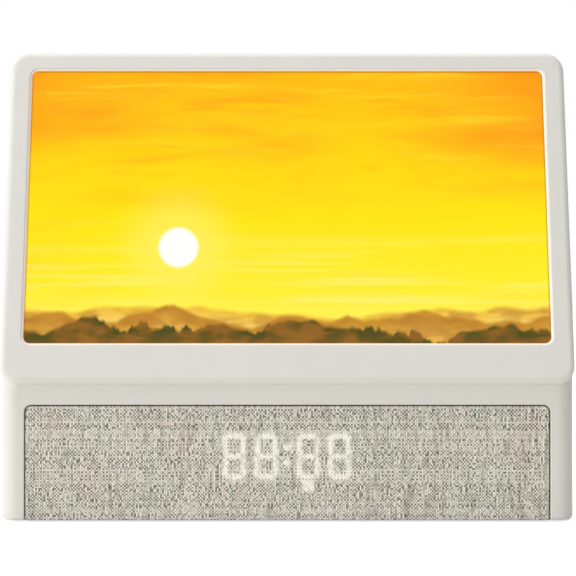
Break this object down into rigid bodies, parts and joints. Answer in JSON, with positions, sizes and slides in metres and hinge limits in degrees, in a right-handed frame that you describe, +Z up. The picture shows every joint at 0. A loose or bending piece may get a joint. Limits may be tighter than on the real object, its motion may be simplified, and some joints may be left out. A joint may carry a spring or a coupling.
{
  "type": "sunrise alarm clock",
  "caption": "Bedside alarm clock with a leaning, backlit picture screen over a cloth front that hides its display and loudspeakers.",
  "frame": {"origin": "on the surface the clock stands on, under the middle of its box", "axes": "+X to the right of someone facing the screen, -Y out of the screen, +Z up"},
  "size_m": [0.1768, 0.0876, 0.1483],
  "materials": {
    "abs_shell": "fine-textured moulded ABS",
    "abs_key": "smooth moulded ABS",
    "clear_sheet": "clear moulded acrylic",
    "picture_film": "printed translucent film",
    "diffuser": "frosted acrylic",
    "white_tray": "white moulded polycarbonate",
    "cloth": "woven polyester linen",
    "grille_plastic": "black moulded ABS",
    "digit_block": "black moulded ABS",
    "lit_segment": "milky epoxy",
    "circuit_board": "solder mask on glass epoxy",
    "white_board": "white solder mask on aluminium",
    "chips": "moulded epoxy",
    "lamp_led": "phosphor under silicone",
    "steel": "zinc-plated steel",
    "magnet": "ferrite",
    "basket": "black steel pressing",
    "cone": "pressed paper",
    "surround": "butyl rubber",
    "chamber": "black moulded ABS",
    "rubber": "moulded silicone",
    "cable": "PVC",
    "plug": "nylon",
    "socket": "nickel-plated steel",
    "switch": "moulded nylon"
  },
  "bodies": {
    "clock": {"alarm_switch": "switch", "base_plate": "abs_shell", "base_screws": "steel", "cable_plugs": "plug", "cell_door": "abs_shell", "cell_holder": "switch", "coin_cell": "steel", "diffuser_sheet": "diffuser", "digit_block": "digit_block", "digit_segments": "lit_segment", "display_board": "circuit_board", "display_ribbon": "cable", "door_screw": "steel", "fabric_panel": "cloth", "front_housing": "abs_shell", "grille_frame": "grille_plastic", "grille_screws": "steel", "key_board": "circuit_board", "key_board_screws": "steel", "key_ribbon": "cable", "key_switches": "switch", "lamp_board": "white_board", "lamp_board_screws": "steel", "lamp_leds": "lamp_led", "lamp_ribbon": "cable", "light_box": "white_tray", "light_box_screws": "steel", "main_board": "circuit_board", "main_board_parts": "chips", "main_board_screws": "steel", "picture_film": "picture_film", "rear_housing": "abs_shell", "rubber_feet": "rubber", "screen_window": "clear_sheet", "shell_screws": "steel", "speaker_basket_left": "basket", "speaker_basket_right": "basket", "speaker_chamber_left": "chamber", "speaker_chamber_right": "chamber", "speaker_lead_left": "cable", "speaker_lead_right": "cable", "speaker_magnet_left": "magnet", "speaker_magnet_right": "magnet", "speaker_surround_left": "surround", "speaker_surround_right": "surround", "usb_socket": "socket"},
    "light_key": {"light_key": "abs_key", "light_plunger": "switch"},
    "alarm_key": {"alarm_key": "abs_key", "alarm_plunger": "switch"},
    "snooze_key": {"snooze_key": "abs_key", "snooze_plunger": "switch"},
    "sound_down_key": {"sound_down_key": "abs_key", "sound_down_plunger": "switch"},
    "sound_up_key": {"sound_up_key": "abs_key", "sound_up_plunger": "switch"},
    "alarm_slider": {"alarm_slider": "abs_key"},
    "speaker_cone_left": {"speaker_cone_left": "cone"},
    "speaker_cone_right": {"speaker_cone_right": "cone"}
  },
  "joints": [
    {"name": "light_key_press", "type": "slide", "parent": "clock", "child": "light_key", "axis": [0, 0, -1], "range_m": [0, 0.0006], "stiffness_N_per_m": 2600},
    {"name": "alarm_key_press", "type": "slide", "parent": "clock", "child": "alarm_key", "axis": [0, 0, -1], "range_m": [0, 0.0006], "stiffness_N_per_m": 2600},
    {"name": "snooze_key_press", "type": "slide", "parent": "clock", "child": "snooze_key", "axis": [0, 0, -1], "range_m": [0, 0.0006], "stiffness_N_per_m": 2600},
    {"name": "sound_down_key_press", "type": "slide", "parent": "clock", "child": "sound_down_key", "axis": [0, 0, -1], "range_m": [0, 0.0006], "stiffness_N_per_m": 2600},
    {"name": "sound_up_key_press", "type": "slide", "parent": "clock", "child": "sound_up_key", "axis": [0, 0, -1], "range_m": [0, 0.0006], "stiffness_N_per_m": 2600},
    {"name": "alarm_slider_slide", "type": "slide", "parent": "clock", "child": "alarm_slider", "axis": [1, 0, 0], "range_m": [0, 0.003]},
    {"name": "speaker_cone_left_stroke", "type": "slide", "parent": "clock", "child": "speaker_cone_left", "axis": [0, -1, 0], "range_m": [-0.0005, 0.0005], "stiffness_N_per_m": 1500},
    {"name": "speaker_cone_right_stroke", "type": "slide", "parent": "clock", "child": "speaker_cone_right", "axis": [0, -1, 0], "range_m": [-0.0005, 0.0005], "stiffness_N_per_m": 1500}
  ]
}
